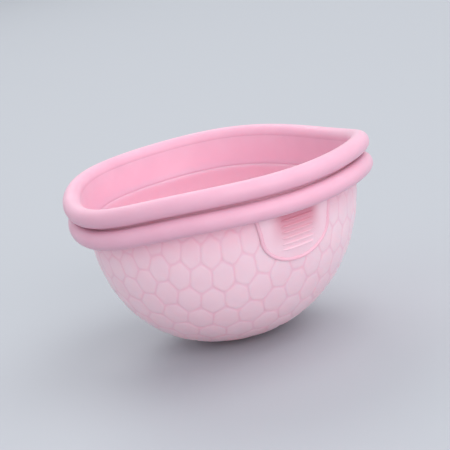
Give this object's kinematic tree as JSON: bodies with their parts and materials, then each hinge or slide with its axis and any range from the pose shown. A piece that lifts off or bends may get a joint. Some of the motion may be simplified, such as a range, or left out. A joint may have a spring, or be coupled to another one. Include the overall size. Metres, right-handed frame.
{
  "type": "silicone cup",
  "caption": "Small oval silicone cup with a double-beaded rim, a thin honeycomb-textured bowl, a ribbed finger grip under the rim and a base that presses in and springs back.",
  "frame": {"origin": "centre of the bounding box in X and Y, on the plane that the flat underside rests on", "axes": "+Z is the cup's axis, out of its mouth; +Y is the rim's long axis and points to the back, so the finger grip faces -Y; +X is to the right seen from the front"},
  "size_m": [0.0646, 0.072, 0.0399],
  "materials": {
    "rim_silicone": "satin",
    "band_silicone": "satin",
    "bowl_silicone": "satin",
    "grip_silicone": "satin"
  },
  "bodies": {
    "rim": {"upper_rim": "rim_silicone", "lower_rim": "rim_silicone", "rim_band": "band_silicone", "side_wall": "bowl_silicone", "grip_pad": "grip_silicone", "grip_frame": "grip_silicone", "grip_ridges": "grip_silicone"},
    "base": {"flex_wall": "bowl_silicone", "base_dome": "bowl_silicone"}
  },
  "joints": [
    {"name": "bowl_press", "type": "slide", "parent": "rim", "child": "base", "axis": [0, 0, 1], "range_m": [0, 0.008], "stiffness_N_per_m": 60, "springref_m": -0.004, "deforming": ["flex_wall"]}
  ]
}
